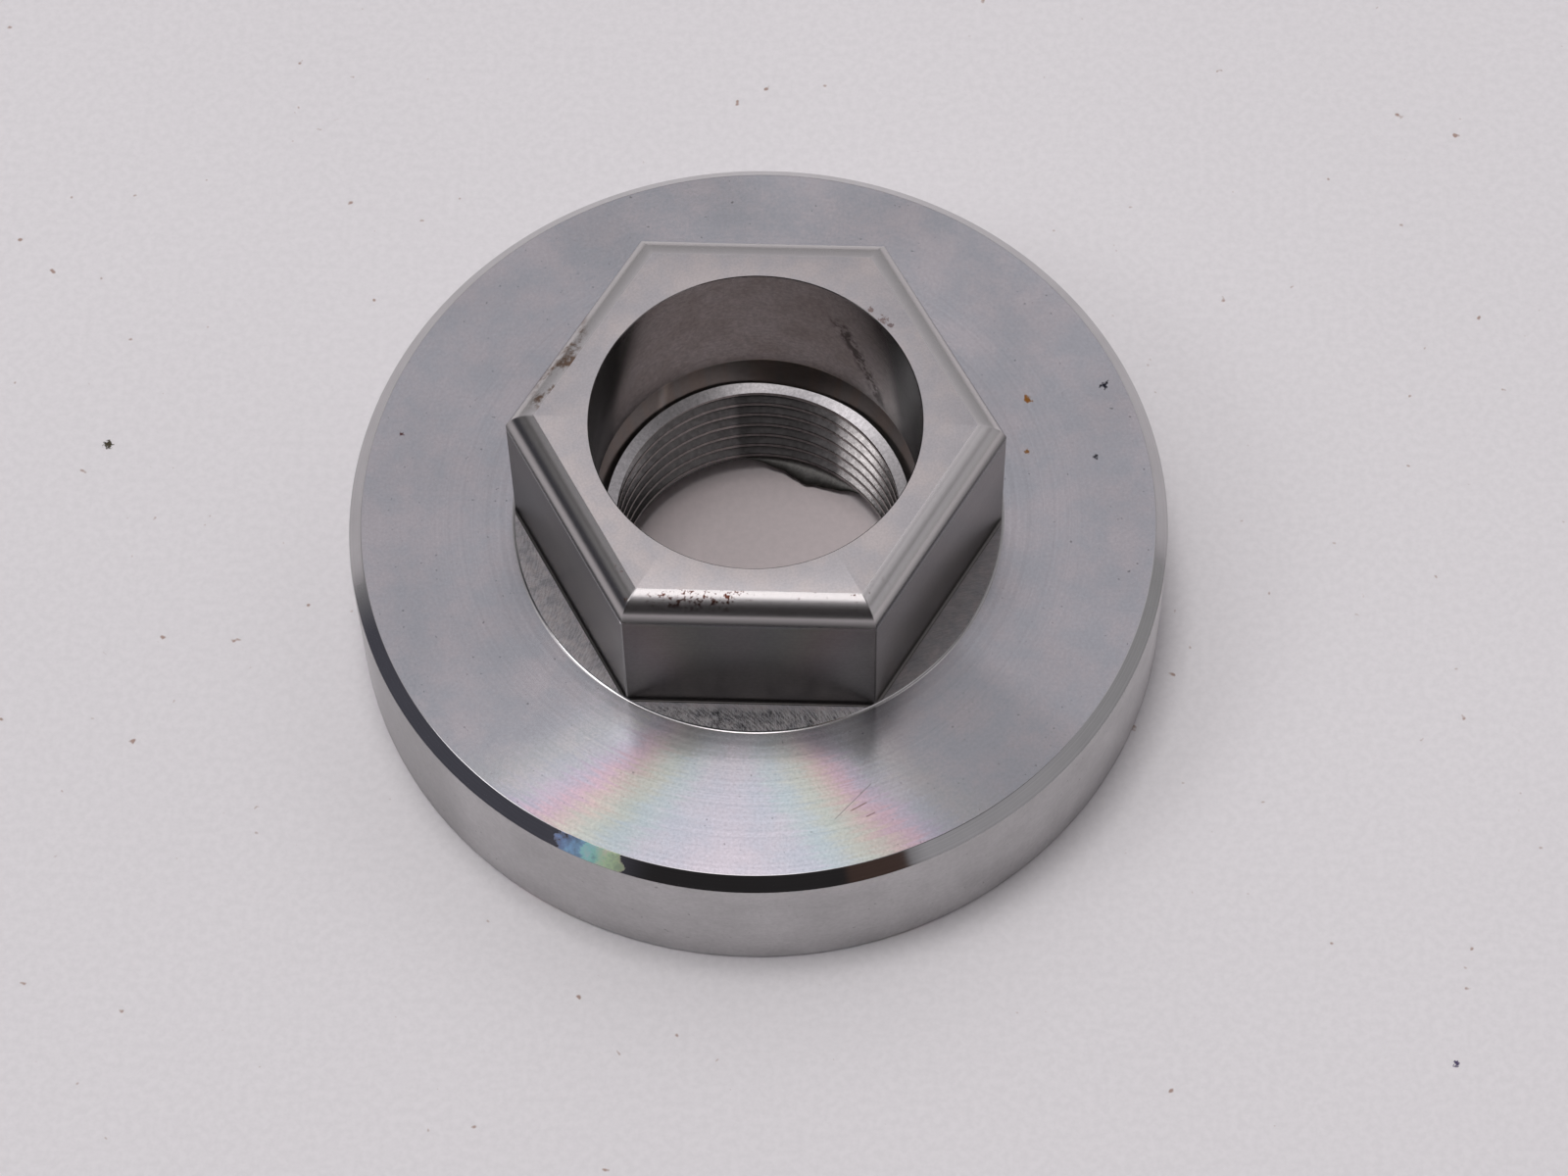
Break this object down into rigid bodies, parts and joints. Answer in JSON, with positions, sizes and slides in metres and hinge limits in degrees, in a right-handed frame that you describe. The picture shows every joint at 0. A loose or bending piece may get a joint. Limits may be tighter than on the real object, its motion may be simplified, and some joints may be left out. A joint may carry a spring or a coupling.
{
  "type": "flanged hex nut",
  "caption": "Thick round flange with a raised hexagon, counterbored from the hexagon's end and threaded right-hand through the flange.",
  "frame": {"origin": "centre of the flange's bottom face", "axes": "+Z along the thread axis, up through the hexagon; two hexagon flats face -Y and +Y and two corners lie on the X axis"},
  "size_m": [0.07, 0.07, 0.0306],
  "materials": {
    "machined_steel": "bare steel, turned flange and bore, milled hexagon"
  },
  "bodies": {
    "root": {"flanged_hex_nut": "machined_steel"}
  },
  "joints": []
}
